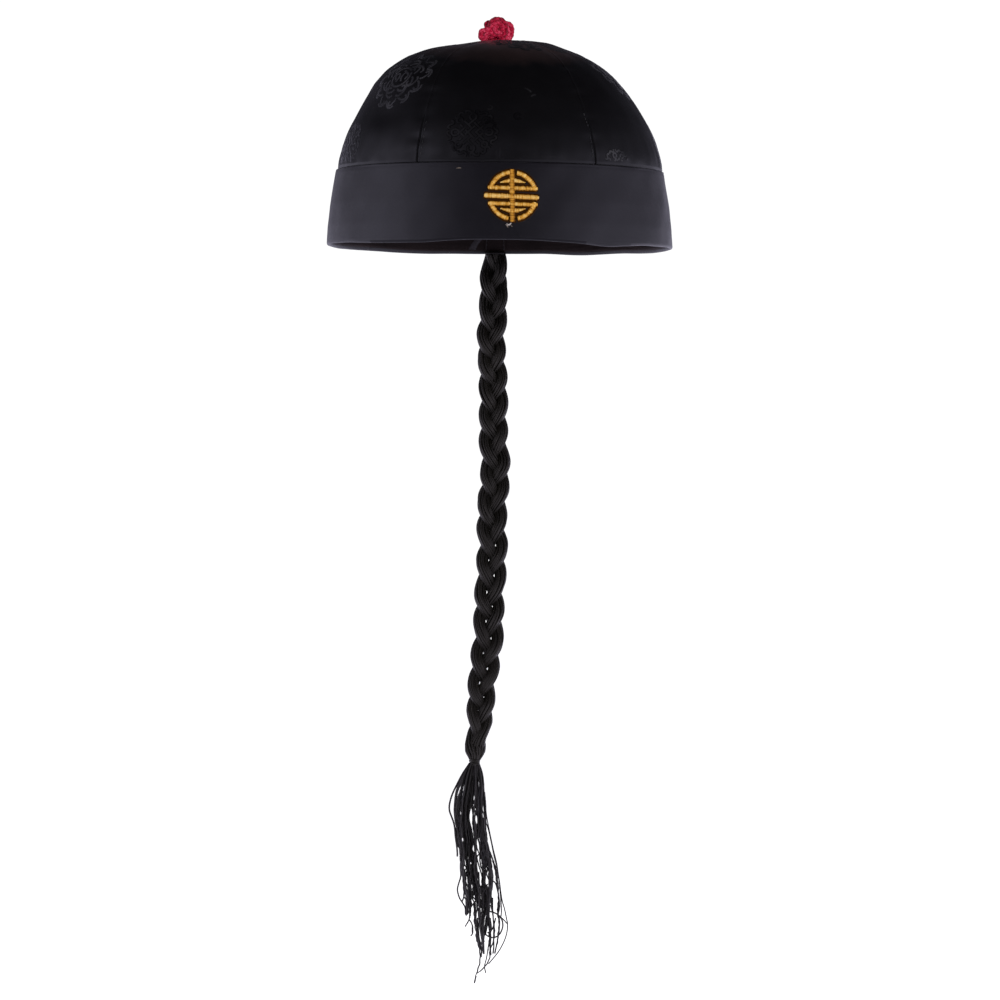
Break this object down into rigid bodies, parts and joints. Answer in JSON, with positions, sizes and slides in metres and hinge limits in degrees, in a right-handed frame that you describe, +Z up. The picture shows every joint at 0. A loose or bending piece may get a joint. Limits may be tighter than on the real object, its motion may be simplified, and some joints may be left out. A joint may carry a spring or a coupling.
{
  "type": "chinese costume cap with hanging braid",
  "caption": "Round skullcap of satin gores with a plain turned-up band, a gold stitched roundel, a red cord button and a long black braid that hangs from the back of the rim.",
  "frame": {"origin": "middle of the rim's lower edge, where the cap sits on a head", "axes": "+Z up through the crown; -Y is the front with the roundel, +Y the back where the braid hangs, +X the right side of the picture"},
  "size_m": [0.1916, 0.1966, 0.5452],
  "materials": {
    "crown_satin": "glossy black satin with tone-on-tone woven medallions",
    "band_satin": "plain dark grey-violet satin with a soft sheen",
    "facing_cloth": "matt brown-black lining cloth",
    "gold_thread": "satin-stitched gold rayon thread",
    "red_cord": "shiny crimson braided cord",
    "black_cord": "shiny black rayon cord"
  },
  "bodies": {
    "root": {"crown_gore_front": "crown_satin", "crown_gore_front_right": "crown_satin", "crown_gore_back_right": "crown_satin", "crown_gore_back": "crown_satin", "crown_gore_back_left": "crown_satin", "crown_gore_front_left": "crown_satin", "band": "band_satin", "emblem": "gold_thread", "top_knot": "red_cord", "braid_tab": "facing_cloth", "braid": "black_cord", "braid_tie": "black_cord", "tassel": "black_cord"}
  },
  "joints": []
}
